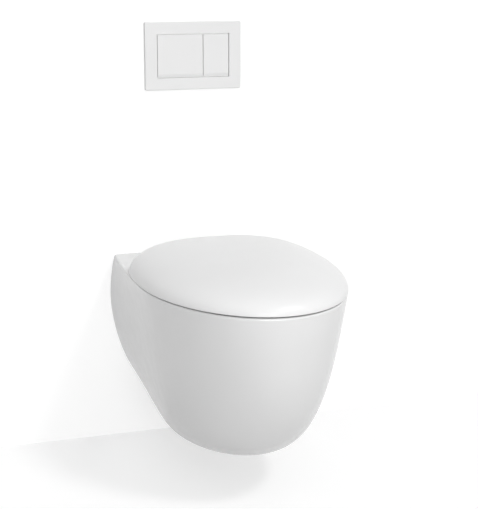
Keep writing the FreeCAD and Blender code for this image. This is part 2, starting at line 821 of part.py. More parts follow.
face_y = wall_y - d.plate_depth
plate = new_body("flush_plate", 0, wall_y, d.plate_centre)
outline = sketch_on(plate, "XZ")
rounded(outline, d.plate_width / 2, d.plate_height / 2, d.plate_corner)
rectangle(
    outline,
    -d.window_width / 2,
    -d.window_height / 2,
    d.window_width / 2,
    d.window_height / 2,
)
block_pad = pad(plate, outline, d.plate_depth)
doc.recompute()
rounding = plate.newObject("PartDesign::Fillet", "Fillet")
front_edges = []
for number, edge in enumerate(block_pad.Shape.Edges, start=1):
    reach = max(abs(edge.CenterOfMass.x) / n.plate_width, abs(edge.CenterOfMass.z) / n.plate_height)
    if edge.BoundBox.YMax < -n.plate_depth + 0.01 and reach > 0.45:
        front_edges.append("Edge%d" % number)
rounding.Base = (block_pad, front_edges)
rounding.Radius = 1.5

full_left = -d.window_width / 2 + d.button_gap
full_right = full_left + d.full_button_width
half_left = full_right + d.button_gap
half_right = d.window_width / 2 - d.button_gap
button_half = d.window_height / 2 - d.button_gap
full_x = (full_left + full_right) / 2
half_x = (half_left + half_right) / 2
button_back = face_y + 1 + d.button_depth
frame_plate_y = wall_y + 11
lever_y = d.lever_setback
contact_y = lever_y - 3

for name, left, right, middle in (
    ("full_flush_button", full_left, full_right, full_x),
    ("half_flush_button", half_left, half_right, half_x),
):
    button = new_body(name, 0, button_back, d.plate_centre)
    panel = sketch_on(button, "YZ", left)
    polygon(
        panel,
        (
            (0, -button_half),
            (0, button_half),
            (-d.button_depth, button_half),
            (-d.button_depth, 6 - button_half),
            (1.5 - d.button_depth, -button_half),
        ),
    )
    pad(button, panel, right - left)
    stub = sketch_on(button, "XZ", -3)
    circle(stub, middle, 0, 12)
    pad(button, stub, 3.5)

for name, middle in (("full_push_rod", full_x), ("half_push_rod", half_x)):
    start = button_back + 3
    node(rod("Y", middle, start, d.plate_centre, d.rod_size, contact_y - 0.3 - start), name)

holder = new_body("plate_mounting_frame", 0, frame_plate_y + 3, d.plate_centre)
clear = 0.2
hold_u = d.opening_width / 2 - clear
hold_v = d.opening_height / 2 - clear
web = sketch_on(holder, "XZ")
rectangle(web, -hold_u, -hold_v, hold_u, hold_v)
circle(web, full_x, 0, d.rod_size + 0.1)
circle(web, half_x, 0, d.rod_size + 0.1)
for corner_u, corner_v in ((-1, 1), (1, 1), (-1, -1), (1, -1)):
    u = (hold_u - 26) * corner_u
    v = (hold_v - 22) * corner_v
    rectangle(web, u - 12, v - 8, u + 12, v + 8)
pad(holder, web, 3)
edge = sketch_on(holder, "XZ")
rectangle(edge, -hold_u, -hold_v, hold_u, hold_v)
rectangle(edge, -hold_u + 3, -hold_v + 3, hold_u - 3, hold_v - 3)
pad(holder, edge, 14)

tank_front = -d.tank_depth / 2
sleeve = new_body("access_sleeve", 0, tank_front, d.plate_centre)
ring = sketch_on(sleeve, "XZ")
grow = d.sleeve_wall
rectangle(
    ring,
    -d.opening_width / 2 - grow,
    -d.opening_height / 2 - grow,
    d.opening_width / 2 + grow,
    d.opening_height / 2 + grow,
)
rectangle(
    ring,
    -d.opening_width / 2,
    -d.opening_height / 2,
    d.opening_width / 2,
    d.opening_height / 2,
)
pad(sleeve, ring, d.wall_face + tank_front)

splash = new_body("splash_cover", 0, tank_front, d.plate_centre)
sheet_web = sketch_on(splash, "XZ")
rectangle(sheet_web, -hold_u - clear, -hold_v - clear, hold_u + clear, hold_v + clear)
circle(sheet_web, full_x, 0, d.rod_size + 4)
circle(sheet_web, half_x, 0, d.rod_size + 4)
pad(splash, sheet_web, 3)

screws = []
for side in (-1, 1):
    screw_x = (hold_u - 8) * side
    shank = rod("Y", screw_x, frame_plate_y - 3, d.plate_centre, 5, tank_front - 3 - frame_plate_y + 3)
    head = rod("Y", screw_x, frame_plate_y - 3, d.plate_centre, 9, 3)
    screws.append(fuse(shank, head))
node(group(*screws), "plate_screws")
holder_holes = sketch_on(holder, "XZ", -1)
circle(holder_holes, (hold_u - 8), 0, 5)
circle(holder_holes, -(hold_u - 8), 0, 5)
pocket(holder, holder_holes, 5)

# Cistern tank.

tank = new_body("cistern_tank", 0, 0, d.tank_bottom)
tank_outline = sketch_on(tank, "XY")
rounded(tank_outline, d.tank_width / 2, d.tank_depth / 2, d.tank_corner)
pad(tank, tank_outline, d.tank_top - d.tank_bottom)
tank_hollow = sketch_on(tank, "XY", d.tank_wall)
rounded(
    tank_hollow,
    d.tank_width / 2 - d.tank_wall,
    d.tank_depth / 2 - d.tank_wall,
    d.tank_corner - d.tank_wall,
)
pocket(tank, tank_hollow, d.tank_top - d.tank_bottom - d.tank_wall * 2)
service = sketch_on(tank, "XZ", d.tank_depth / 2 - d.tank_wall - 1)
service_z = d.plate_centre - d.tank_bottom
rectangle(
    service,
    -d.opening_width / 2,
    service_z - d.opening_height / 2,
    d.opening_width / 2,
    service_z + d.opening_height / 2,
)
pocket(tank, service, d.tank_wall + 2)
shank_size = d.shank_size
outlet = sketch_on(tank, "XY", -1)
circle(outlet, 0, d.valve_setback, shank_size + 0.1)
pocket(tank, outlet, d.tank_wall + 2)
supply_x = -62
supply_y = d.tank_depth / 2 - 25
supply = sketch_on(tank, "XY", d.tank_top - d.tank_bottom - d.tank_wall - 1)
circle(supply, supply_x, supply_y, d.supply_shank + 0.2)
pocket(tank, supply, d.tank_wall + 2)

clips = []
gap_x = (d.post_spacing - d.post_size - d.tank_width) / 2
for side in (-1, 1):
    for height in (0.3, 0.85):
        low = d.tank_bottom + (d.tank_top - d.tank_bottom) * height
        start = d.tank_width / 2 if side > 0 else -d.tank_width / 2 - gap_x
        clips.append(box(start, d.post_setback - 12, low - 20, gap_x, 24, 40))
node(group(*clips), "tank_clips")

# Flush valve: cage on the tank floor, lifting stem with its seal, and the two levers.

valve_y = d.valve_setback
floor_z = d.tank_bottom + d.tank_wall
stem_low = floor_z + 8
wing_z = d.lever_pivot + 4.5

housing = new_body("flush_valve_housing", 0, valve_y, floor_z)
profile = sketch_on(housing, "XZ")
pipe_r = d.flush_pipe_size / 2
cage_r = d.housing_size / 2
shank_r = shank_size / 2
polygon(
    profile,
    (
        (pipe_r + 0.05, -40),
        (shank_r, -40),
        (shank_r, 0),
        (cage_r, 0),
        (cage_r, 110),
        (d.stem_size / 2 + 0.05, 110),
        (d.stem_size / 2 + 0.05, 104),
        (cage_r - 2.5, 104),
        (cage_r - 2.5, 6),
        (pipe_r - 3, 6),
        (pipe_r - 3, -14),
        (pipe_r + 0.05, -14),
    ),
)
turned(housing, profile)
for plane in ("XZ", "YZ"):
    gate = sketch_on(housing, plane, -cage_r - 5)
    rectangle(gate, -d.housing_size * 0.3, 12, d.housing_size * 0.3, 92)
    pocket(housing, gate, d.housing_size + 10)

nut_low = d.tank_bottom - 14
nut = cut(
    hexagon("Z", 0, valve_y, nut_low, shank_size + 14, 14),
    rod("Z", 0, valve_y, nut_low - 1, shank_size, 16),
)
node(nut, "flush_valve_nut")

stem_tube = rod("Z", 0, valve_y, stem_low, d.stem_size, wing_z - stem_low + 6)
wing = box(full_x - 8, valve_y - 2, wing_z, -full_x + 8, 16, 6)
cone = rod("Z", 0, valve_y, stem_low + 4, d.housing_size - 16, 5)
stem = cut(
    fuse(stem_tube, wing, cone),
    rod("Z", 0, valve_y, stem_low - 1, d.stem_size - 6, wing_z - stem_low + 20),
)
node(stem, "flush_stem")
seal_low = floor_z + 6
seal = cut(
    rod("Z", 0, valve_y, seal_low, d.housing_size - 10, stem_low + 4 - seal_low),
    rod("Z", 0, valve_y, seal_low - 1, d.stem_size, 20),
)
node(seal, "flush_seal")

half_rod_x = half_x + 15
half_rod_y = valve_y + 6
half_low = floor_z + 120
float_cup = cut(
    rod("Z", half_rod_x, half_rod_y, half_low, 36, 50),
    rod("Z", half_rod_x, half_rod_y, half_low + 3, 32, 50),
)
half_stem = fuse(
    rod("Z", half_rod_x, half_rod_y, half_low, d.rod_size, wing_z - half_low + 6),
    box(half_x - 6, half_rod_y - 8, wing_z, 24, 16, 6),
    float_cup,
)
node(half_stem, "half_flush_rod")
back_y = d.tank_depth / 2 - d.tank_wall
guide_z = half_low + 80
guide = cut(
    box(half_rod_x - 8, half_rod_y - 8, guide_z, 16, back_y - half_rod_y + 8, 12),
    rod("Z", half_rod_x, half_rod_y, guide_z - 1, d.rod_size + 0.1, 14),
)
node(guide, "half_rod_guide")

for name, middle in (("full_flush_lever", full_x), ("half_flush_lever", half_x)):
    lever = new_body(name, middle - 6, lever_y, d.lever_pivot)
    crank = sketch_on(lever, "YZ")
    polygon(
        crank,
        (
            (-3, -24),
            (3, -24),
            (5, -3),
            (d.lever_reach, -3),
            (d.lever_reach, 3),
            (5, 3),
            (3, 8),
            (-3, 8),
        ),
    )
    pad(lever, crank, 12)
    hub = sketch_on(lever, "YZ")
    circle(hub, 0, 0, 14)
    pad(lever, hub, 12)
    bore = sketch_on(lever, "YZ", -1)
    circle(bore, 0, 0, d.rod_size + 0.1)
    pocket(lever, bore, 14)

front_in = tank_front + d.tank_wall
left_in = d.opening_width / 2 + 3
right_in = d.opening_width / 2 - 19
cheek_low = d.lever_pivot - 8
cheek_top = d.plate_centre + d.opening_height / 2 + 20
span = left_in + right_in
cheeks = []
for start in (-left_in - 3, right_in):
    cheeks.append(box(start, front_in, cheek_low, 3, lever_y + 8 - front_in, cheek_top - cheek_low))
strap = box(-left_in, front_in, cheek_top - 16, span, 3, 16)
bracket = cut(
    fuse(cheeks[0], cheeks[1], strap),
    rod("X", -left_in - 4, lever_y, d.lever_pivot, d.rod_size, span + 8),
)
node(bracket, "lever_bracket")
node(rod("X", -left_in - 3, lever_y, d.lever_pivot, d.rod_size, span + 6), "lever_shaft")

# Water supply: nipple, stop valve, hose, fill valve and float.

top_in = d.tank_top - d.tank_wall
nipple = new_body("supply_nipple", supply_x, supply_y, top_in)
nipple_profile = sketch_on(nipple, "XZ")
thread_r = d.supply_thread / 2
nipple_r = d.supply_shank / 2
polygon(
    nipple_profile,
    (
        (6, -2),
        (nipple_r + 3, -2),
        (nipple_r + 3, 0),
        (nipple_r, 0),
        (nipple_r, d.tank_wall + 8),
        (thread_r, d.tank_wall + 8),
        (thread_r, d.tank_wall + 32),
        (6, d.tank_wall + 32),
    ),
)
turned(nipple, nipple_profile)
node(
    cut(
        hexagon("Z", supply_x, supply_y, d.tank_top, d.supply_shank + 8, 8),
        rod("Z", supply_x, supply_y, d.tank_top - 1, d.supply_shank, 10),
    ),
    "supply_nut",
)
valve_z = top_in - 34
stop_body = cut(
    fuse(
        rod("Z", supply_x, supply_y, top_in - 46, 26, 44),
        rod("X", supply_x, supply_y, valve_z, 15, 24),
        rod("Y", supply_x, supply_y - 20, valve_z, 14, 20),
    ),
    rod("Z", supply_x, supply_y, top_in - 40, 12, 40),
    rod("X", supply_x, supply_y, valve_z, 8, 30),
)
node(stop_body, "stop_valve_body")
knob = new_body("stop_valve_knob", supply_x, supply_y - 20, valve_z)
dial = sketch_on(knob, "XZ", 0.3)
circle(dial, 0, 0, 26)
pad(knob, dial, 6)
grip = sketch_on(knob, "XZ", 6.3)
rectangle(grip, -3, -11, 3, 11)
pad(knob, grip, 8)

fill_x = d.tank_width / 2 - d.float_size / 2 - 22
fill_y = d.tank_depth / 2 - 45
fill_top = d.tank_top - 55
fill_low = fill_top - 210
fill_body = cut(
    fuse(
        rod("Z", fill_x, fill_y, fill_low, d.fill_valve_size, 210),
        rod("Z", fill_x, fill_y, fill_low, d.fill_valve_size + 12, 9.7),
        rod("Z", fill_x, fill_y, fill_top - 2, d.fill_valve_size + 14, 24),
        rod("X", fill_x - 34, fill_y, fill_top + 12, 15, 34),
    ),
    rod("Z", fill_x, fill_y, fill_low - 1, d.fill_valve_size - 6, 205),
    rod("X", fill_x - 36, fill_y, fill_top + 12, 8, 36),
)
node(fill_body, "fill_valve_body")
side_in = d.tank_width / 2 - d.tank_wall
holder_r = d.fill_valve_size + 14
fill_clip = cut(
    box(fill_x, fill_y - 14, fill_top + 2, side_in - fill_x, 28, 16),
    rod("Z", fill_x, fill_y, fill_top, holder_r, 40),
)
node(fill_clip, "fill_valve_bracket")
float_low = fill_low + 10
fill_float = cut(
    rod("Z", fill_x, fill_y, float_low, d.float_size, 70),
    rod("Z", fill_x, fill_y, float_low - 1, d.fill_valve_size + 0.2, 72),
)
node(fill_float, "fill_float")

hose_start = vec(supply_x + 24, supply_y, n.tank_top - n.tank_wall - 34)
hose_end = vec(float(fill_x) - 34, fill_y, n.tank_top - 43)
hose_run = (hose_end.x - hose_start.x) / 3
hose_bends = (hose_start + vec(hose_run, 0), hose_end - vec(hose_run, 0))
hose_turn = (hose_bends[1] - hose_bends[0]).getAngle(vec(1, 0))
hose_radius = 0.45 * hose_run / math.tan(hose_turn / 2)
hose_path = route((hose_start, hose_bends[0], hose_bends[1], hose_end), (hose_radius, hose_radius))
form("supply_hose", pipe(hose_path, 12.0).cut(pipe(hose_path, 8.0)))

# Flush pipe and waste pipe.

flush_end = -n.wall_face - 38
flush_path = route(
    (
        vec(0, n.valve_setback, n.tank_bottom + n.tank_wall - 14),
        vec(0, n.valve_setback, n.inlet_height),
        vec(0, flush_end, n.inlet_height),
    ),
    (n.flush_pipe_bend,),
)
flush_bore = n.flush_pipe_size - 2 * n.flush_pipe_wall
flush_shape = pipe(flush_path, n.flush_pipe_size).cut(pipe(flush_path, flush_bore))
form("flush_pipe", flush_shape)
node(
    tube("Y", 0, wall_y - 36, d.inlet_height, d.inlet_bore, d.flush_pipe_size, 34),
    "flush_pipe_seal",
)

bar_front = d.post_setback - d.post_size / 2
waste_front = -n.wall_face + 8
waste_path = route(
    (
        vec(0, waste_front, n.outlet_height),
        vec(0, n.waste_setback, n.outlet_height),
        vec(0, n.waste_setback, n.waste_end),
    ),
    (n.waste_radius,),
)
waste_bore = n.waste_size - 2 * n.waste_wall
form("waste_bend", pipe(waste_path, n.waste_size).cut(pipe(waste_path, waste_bore)))

connector = new_body("waste_connector", 0, 0, d.outlet_height)
spigot_r = d.spigot_width / 2
waste_r = d.waste_size / 2
socket = sketch_on(connector, "XZ", d.wall_face - 4)
circle(socket, 0, 0, d.spigot_width + 16)
circle(socket, 0, 0, d.spigot_width + 8)
pad(connector, socket, 44)
shoulder = sketch_on(connector, "XZ", d.wall_face - 8)
circle(shoulder, 0, 0, d.spigot_width + 16)
circle(shoulder, 0, 0, d.waste_size - 8)
pad(connector, shoulder, 4)
neck = sketch_on(connector, "XZ", -bar_front)
circle(neck, 0, 0, d.waste_size + 8)
circle(neck, 0, 0, d.waste_size)
pad(connector, neck, d.wall_face - 8 + bar_front)
node(
    tube("Y", 0, wall_y - 40, d.outlet_height, d.spigot_width + 8, d.spigot_width, 18),
    "waste_seal",
)
node(
    tube("Y", 0, bar_front - 5, d.outlet_height, d.waste_size + 40, d.waste_size + 8, 5),
    "waste_clamp",
)

# Steel frame behind the wall.

rail_length = d.post_spacing - d.post_size
post_length = d.frame_height - d.post_bottom
for name, side in (("left_post", -1), ("right_post", 1)):
    post = new_body(name, d.post_spacing / 2 * side, d.post_setback, d.post_bottom)
    section = sketch_on(post, "XY")
    half = d.post_size / 2
    rounded(section, half, half, 4)
    inside = half - d.post_wall
    rectangle(section, -inside, -inside, inside, inside)
    pad(post, section, post_length)
    hole_row = sketch_on(post, "XZ", -half - 1)
    for i in range(9):
        circle(hole_row, 0, post_length * (0.18 + 0.09 * i), 9)
    circle(hole_row, 0, post_length - 28, 8)
    pocket(post, hole_row, d.post_size + 2)
    clamp_hole = sketch_on(post, "YZ", -half - 1)
    circle(clamp_hole, 0, 60, 8)
    pocket(post, clamp_hole, d.post_size + 2)

caps = []
for side in (-1, 1):
    centre = d.post_spacing / 2 * side
    half = d.post_size / 2
    top_cap = box(centre - half, d.post_setback - half, d.frame_height, d.post_size, d.post_size, 4)
    inside = d.post_size - d.post_wall * 2
    stub = box(
        centre - inside / 2 + 0.2,
        d.post_setback - inside / 2 + 0.2,
        d.frame_height - 14,
        inside - 0.4,
        inside - 0.4,
        14,
    )
    caps.append(fuse(top_cap, stub))
node(group(*caps), "post_caps")

rail = new_body("top_rail", -rail_length / 2, d.post_setback, d.frame_height - d.post_size)
rail_section = sketch_on(rail, "YZ")
half = d.post_size / 2
rectangle(rail_section, -half, 0, half, d.post_size)
wall = d.post_wall
rectangle(rail_section, -half + wall, wall, half - wall, d.post_size - wall)
pad(rail, rail_section, rail_length)

thick = d.crossbar_plate


def channel(name, low, high):
    """A U-shaped crossbar with its web to the front."""
    beam = new_body(name, -rail_length / 2, bar_front, 0)
    shape = sketch_on(beam, "YZ")
    polygon(
        shape,
        (
            (0, low),
            (30, low),
            (30, low + thick),
            (thick, low + thick),
            (thick, high - thick),
            (30, high - thick),
            (30, high),
            (0, high),
        ),
    )
    pad(beam, shape, rail_length)
    return beam


stud_bar = channel("stud_crossbar", d.stud_height - 28, d.inlet_height + 49)
stud_holes = sketch_on(stud_bar, "XZ", -thick - 1)
clip_size = d.flush_pipe_size + 12
for side in (-1, 1):
    circle(stud_holes, rail_length / 2 + d.stud_spacing / 2 * side, d.stud_height, d.stud_size)
circle(stud_holes, rail_length / 2, d.inlet_height, clip_size)
pocket(stud_bar, stud_holes, thick + 2)

waste_bar = channel("lower_crossbar", d.outlet_height - d.waste_size / 2 - 25, d.stud_height - 32)
waste_hole = sketch_on(waste_bar, "XZ", -thick - 1)
circle(waste_hole, rail_length / 2, d.outlet_height, d.waste_size + 22)
pocket(waste_bar, waste_hole, thick + 2)

node(
    cut(
        fuse(
            rod("Y", 0, bar_front - 3, d.inlet_height, clip_size + 8, 3),
            rod("Y", 0, bar_front, d.inlet_height, clip_size, thick + 4),
        ),
        rod("Y", 0, bar_front - 4, d.inlet_height, d.flush_pipe_size, thick + 12),
    ),
    "flush_pipe_clip",
)

feet = []
leg_bolts = []
for side in (-1, 1):
    foot = bare_body(d.post_spacing / 2 * side, 0, 0)
    feet.append(foot)
    base = sketch_on(foot, "XY")
    front = d.post_setback - d.leg_size / 2 - 5
    rectangle(base, -d.foot_width / 2, front, d.foot_width / 2, front + d.foot_length)
    circle(base, 0, 0, d.floor_hole)
    pad(foot, base, d.foot_plate)
    leg = sketch_on(foot, "XY", d.foot_plate - 0.5)
    half = d.leg_size / 2
    mid = d.post_setback
    rectangle(leg, -half, mid - half, half, mid + half)
    rectangle(leg, -half + 2.5, mid - half + 2.5, half - 2.5, mid + half - 2.5)
    pad(foot, leg, d.leg_top - d.foot_plate)
    slot_z = d.post_bottom + 60
    inner = d.post_spacing / 2 - d.post_size / 2
    hole = sketch_on(foot, "YZ", -d.leg_size / 2 - 1)
    circle(hole, d.post_setback, slot_z, 8)
    pocket(foot, hole, d.leg_size + 2)
    outer_x = d.post_spacing / 2 + d.post_size / 2
    shank_x = inner - 10 if side > 0 else -outer_x - 4
    shank = rod("X", shank_x, d.post_setback, slot_z, 8, d.post_size + 14)
    head_x = outer_x if side > 0 else -outer_x - 6
    head = hexagon("X", head_x, d.post_setback, slot_z, 13, 6)
    nut_x = inner - 7 if side > 0 else -inner
    bolt_nut = hexagon("X", nut_x, d.post_setback, slot_z, 13, 7)
    leg_bolts.append(fuse(shank, head, bolt_nut))
node(group(*feet), "feet")
node(group(*leg_bolts), "leg_clamp_bolts")

brackets = []
bracket_bolts = []
for side in (-1, 1):
    centre = d.post_spacing / 2 * side
    rear = d.post_setback + d.post_size / 2
    low = d.frame_height - 50
    arm = box(centre - 15, rear, low, 30, d.bracket_reach - rear, 4)
    root = box(centre - 15, rear, low, 30, 4, 36)
    tail = box(centre - 15, d.bracket_reach - 4, low, 30, 4, 60)
    post_bolt_z = low + 22
    tail_bore = rod("Y", centre, d.bracket_reach - 6, low + 36, d.bracket_hole, 10)
    root_bore = rod("Y", centre, rear - 1, post_bolt_z, 8, 8)
    brackets.append(cut(fuse(arm, root, tail), tail_bore, root_bore))
    shank = rod("Y", centre, rear - 8, post_bolt_z, 8, 14)
    bracket_bolts.append(fuse(shank, hexagon("Y", centre, rear + 4, post_bolt_z, 13, 5.5)))
node(group(*brackets), "wall_brackets")
node(group(*bracket_bolts), "bracket_bolts")

# Studs that carry the pan.

studs = []
stud_nuts = []
sleeves = []
for side in (-1, 1):
    stud_x = d.stud_spacing / 2 * side
    stud_front = wall_y - 52
    rear_end = bar_front + thick + 14
    studs.append(rod("Y", stud_x, stud_front, d.stud_height, d.stud_size, rear_end - stud_front))
    for nut_y in (bar_front - 10, bar_front + thick):
        nut = hexagon("Y", stud_x, nut_y, d.stud_height, 19, 10)
        core = rod("Y", stud_x, nut_y - 1, d.stud_height, d.stud_size, 12)
        stud_nuts.append(cut(nut, core))
    sleeves.append(
        tube("Y", stud_x, wall_y - 25, d.stud_height, 24, d.stud_size, 25 + d.wall_face + bar_front - 10)
    )
    washer = rod("Y", stud_x, wall_y - 28, d.stud_height, 37, 3)
    lock = hexagon("Y", stud_x, wall_y - 38, d.stud_height, 19, 10)
    core = rod("Y", stud_x, wall_y - 39, d.stud_height, d.stud_size, 14)
    stud_nuts.append(cut(fuse(washer, lock), core))
node(group(*studs), "pan_studs")
node(group(*stud_nuts), "stud_nuts")
node(group(*sleeves), "stud_sleeves")

doc.recompute()

for obj in doc.Objects:
    if "Invalid" in obj.State or "Error" in obj.State:
        raise RuntimeError("%s (%s) is %s" % (obj.Label, obj.TypeId, obj.State))
for obj in nodes:
    if obj.Shape.isNull() or not obj.Shape.isValid():
        raise RuntimeError("%s has no valid shape" % obj.Label)

os.makedirs("parts", exist_ok=True)
for obj in nodes:
    obj.Shape.exportStep("parts/%s.step" % obj.Label)
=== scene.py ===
import math

import bpy
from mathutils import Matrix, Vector


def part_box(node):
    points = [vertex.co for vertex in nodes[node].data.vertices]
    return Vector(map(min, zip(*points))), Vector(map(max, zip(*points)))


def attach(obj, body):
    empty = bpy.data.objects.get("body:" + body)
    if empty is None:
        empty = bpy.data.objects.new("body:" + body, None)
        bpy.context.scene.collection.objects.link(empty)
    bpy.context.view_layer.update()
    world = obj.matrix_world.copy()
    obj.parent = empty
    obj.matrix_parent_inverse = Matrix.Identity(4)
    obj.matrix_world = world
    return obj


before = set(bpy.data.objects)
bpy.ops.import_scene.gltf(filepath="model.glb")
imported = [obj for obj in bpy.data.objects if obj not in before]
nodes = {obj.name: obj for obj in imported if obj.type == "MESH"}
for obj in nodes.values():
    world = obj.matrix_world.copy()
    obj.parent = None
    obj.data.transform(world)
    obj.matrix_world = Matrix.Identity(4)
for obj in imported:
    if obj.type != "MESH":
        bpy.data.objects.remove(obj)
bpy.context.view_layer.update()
scene = bpy.context.scene
scene.view_settings.view_transform = "Standard"

MM = 0.001
WHITE = (1, 1, 1, 1)


def linear(code):
    """An sRGB hex colour as linear RGBA."""
    channels = [int(code[i:i + 2], 16) / 255 for i in (1, 3, 5)]
    return [c / 12.92 if c <= 0.04045 else ((c + 0.055) / 1.055) ** 2.4 for c in channels] + [1.0]


def add(tree, kind, settings, **sockets):
    """One shader node: settings are its properties, sockets its inputs as values or as links.

    In a socket's name _ stands for a space. An input that shares its name with others is given as
    _ and its place among the inputs.
    """
    node = tree.nodes.new("ShaderNode" + kind)
    for name, value in settings.items():
        setattr(node, name, value)
    for name, value in sockets.items():
        socket = node.inputs[int(name[1:]) if name[0] == "_" else name.replace("_", " ")]
        if isinstance(value, bpy.types.NodeSocket):
            tree.links.new(value, socket)
        else:
            socket.default_value = value
    return node


def empty_tree(owner):
    """The node tree of a material or a world, cleared."""
    owner.use_nodes = True
    owner.node_tree.nodes.clear()
    return owner.node_tree


# The tone of every finish drifts over about a hand's width.
DRIFT_MM = 90
# Nearly all values of the noise lie between these two.
NOISE_LOW = 0.3
NOISE_HIGH = 0.7


def surface(name, low, high, grain_mm, rough, relief_mm, **sockets):
    """A finish with a slow drift between two colours, uneven gloss and a small relief.

    grain_mm is the size of the pattern, rough the range of roughness over it and relief_mm its height.
    """
    material = bpy.data.materials.new(name)
    tree = empty_tree(material)
    place = add(tree, "TexCoord", {}).outputs["Object"]
    drift = add(tree, "TexNoise", {}, Vector=place, Scale=1 / (DRIFT_MM * MM), Detail=1.0)
    shade = add(
        tree,
        "Mix",
        {"data_type": "RGBA"},
        Factor=drift.outputs["Fac"],
        _6=linear(low),
        _7=linear(high),
    )
    grain = add(tree, "TexNoise", {}, Vector=place, Scale=1 / (grain_mm * MM), Detail=2.0, Roughness=0.55)
    gloss = add(
        tree,
        "MapRange",
        {},
        Value=grain.outputs["Fac"],
        From_Min=NOISE_LOW,
        From_Max=NOISE_HIGH,
        To_Min=rough[0],
        To_Max=rough[1],
    )
    bump = add(tree, "Bump", {}, Height=grain.outputs["Fac"], Strength=1.0, Distance=relief_mm * MM)
    shader = add(
        tree,
        "BsdfPrincipled",
        {},
        Base_Color=shade.outputs[2],
        Roughness=gloss.outputs["Result"],
        Normal=bump.outputs["Normal"],
        **sockets,
    )
    add(tree, "OutputMaterial", {}, Surface=shader.outputs[0])
    return material


# Vitreous china under a fired glaze: a silky sheen on a faintly wavy skin.
glazed_china = surface(
    "glazed_china", "#EBEBEB", "#EFEFEF", grain_mm=22, rough=(0.19, 0.24), relief_mm=0.03, IOR=1.5
)
# Compression-moulded urea, buffed: an even gloss, a little softer than the glaze.
moulded_urea = surface(
    "moulded_urea", "#F1F1F1", "#F4F4F4", grain_mm=30, rough=(0.29, 0.34), relief_mm=0.02, IOR=1.5
)
# Injection-moulded ABS: the tool's fine grain gives a satin gloss. It is drawn coarser than the real one.
satin_abs = surface(
    "satin_abs", "#E3E3E3", "#E6E6E6", grain_mm=0.6, rough=(0.30, 0.38), relief_mm=0.004, IOR=1.54
)
# Blow-moulded polyethylene: waxy, with slow waves where the wall cooled.
blown_polyethylene = surface(
    "blown_polyethylene", "#D3D5D2", "#DCDDDA", grain_mm=34, rough=(0.42, 0.55), relief_mm=0.25, IOR=1.51
)
# Injection-moulded polypropylene, undyed: a milky tone with a half-dull gloss.
milky_polypropylene = surface(
    "milky_polypropylene", "#DADDDF", "#E3E5E6", grain_mm=4, rough=(0.36, 0.46), relief_mm=0.01, IOR=1.49
)
# The same plastic dyed grey-blue, which sets the tank's levers, float and knob apart.
blue_polypropylene = surface(
    "blue_polypropylene", "#55738C", "#5E7D97", grain_mm=4, rough=(0.36, 0.46), relief_mm=0.01, IOR=1.49
)
# High-density polyethylene, extruded, and moulded for nut and caps: black, with a dull, uneven sheen.
extruded_pipe = surface(
    "extruded_pipe", "#1A1A1B", "#232324", grain_mm=3, rough=(0.38, 0.52), relief_mm=0.02, IOR=1.51
)
# Powder-coated steel: a grey skin with orange peel a little over a millimetre across.
powder_coat = surface(
    "powder_coat", "#7C838A", "#858C93", grain_mm=1.4, rough=(0.34, 0.46), relief_mm=0.035, IOR=1.5
)
# Zinc-plated steel: a dull metal, cloudy in patches of a few millimetres.
zinc_plate = surface(
    "zinc_plate", "#A9ADB2", "#C2C5C9", grain_mm=3, rough=(0.30, 0.46), relief_mm=0.004, Metallic=1.0
)
# Stainless steel, polished: bright, and close to a mirror.
polished_steel = surface(
    "polished_steel", "#C8C9CB", "#D4D5D6", grain_mm=6, rough=(0.07, 0.13), relief_mm=0.001, Metallic=1.0
)
# Moulded and cured rubber: nearly black and matt.
sealing_rubber = surface(
    "sealing_rubber", "#1B1B1A", "#262625", grain_mm=0.8, rough=(0.62, 0.78), relief_mm=0.01, IOR=1.52
)
# Moulded thermoplastic rubber: pale grey and matt.
buffer_rubber = surface(
    "buffer_rubber", "#CFCFCB", "#D8D8D5", grain_mm=0.8, rough=(0.55, 0.68), relief_mm=0.008, IOR=1.5
)
# Turned brass: a yellow metal with a bright, finely broken gloss.
turned_brass = surface(
    "turned_brass", "#B89450", "#C9A662", grain_mm=0.5, rough=(0.16, 0.26), relief_mm=0.002, Metallic=1.0
)
# Extruded vinyl over a braid: a grey satin skin, finely lumpy where the braid presses through.
hose_skin = surface(
    "hose_skin", "#9FA2A5", "#AEB1B3", grain_mm=1.5, rough=(0.35, 0.5), relief_mm=0.05, IOR=1.5
)

# Each finish with the pieces that have it
FINISHES = {
    glazed_china: ["pan", "pan_bowl", "pan_trap"],
    moulded_urea: ["lid", "seat"],
    satin_abs: ["flush_plate", "full_flush_button", "half_flush_button"],
    blown_polyethylene: ["cistern_tank", "access_sleeve"],
    milky_polypropylene: [
        "full_push_rod",
        "half_push_rod",
        "plate_mounting_frame",
        "splash_cover",
        "tank_clips",
        "flush_valve_housing",
        "flush_stem",
        "half_flush_rod",
        "half_rod_guide",
        "lever_bracket",
        "fill_valve_body",
        "fill_valve_bracket",
        "flush_pipe_clip",
        "stud_sleeves",
    ],
    blue_polypropylene: ["full_flush_lever", "half_flush_lever", "stop_valve_knob", "fill_float"],
    extruded_pipe: ["flush_pipe", "waste_bend", "waste_connector", "flush_valve_nut", "post_caps"],
    powder_coat: ["left_post", "right_post", "top_rail", "stud_crossbar", "lower_crossbar"],
    zinc_plate: [
        "hinge_pins",
        "hinge_bolts",
        "plate_screws",
        "lever_shaft",
        "waste_clamp",
        "feet",
        "leg_clamp_bolts",
        "wall_brackets",
        "bracket_bolts",
        "pan_studs",
        "stud_nuts",
    ],
    polished_steel: ["hinge_posts"],
    sealing_rubber: ["hinge_plugs", "flush_seal", "flush_pipe_seal", "waste_seal"],
    buffer_rubber: ["seat_buffers", "lid_buffers"],
    turned_brass: ["supply_nipple", "supply_nut", "stop_valve_body"],
    hose_skin: ["supply_hose"],
}
for material, names in FINISHES.items():
    for name in names:
        data = nodes[name].data
        data.materials.clear()
        data.materials.append(material)


# Small moulded and cut detail that the solids leave plain

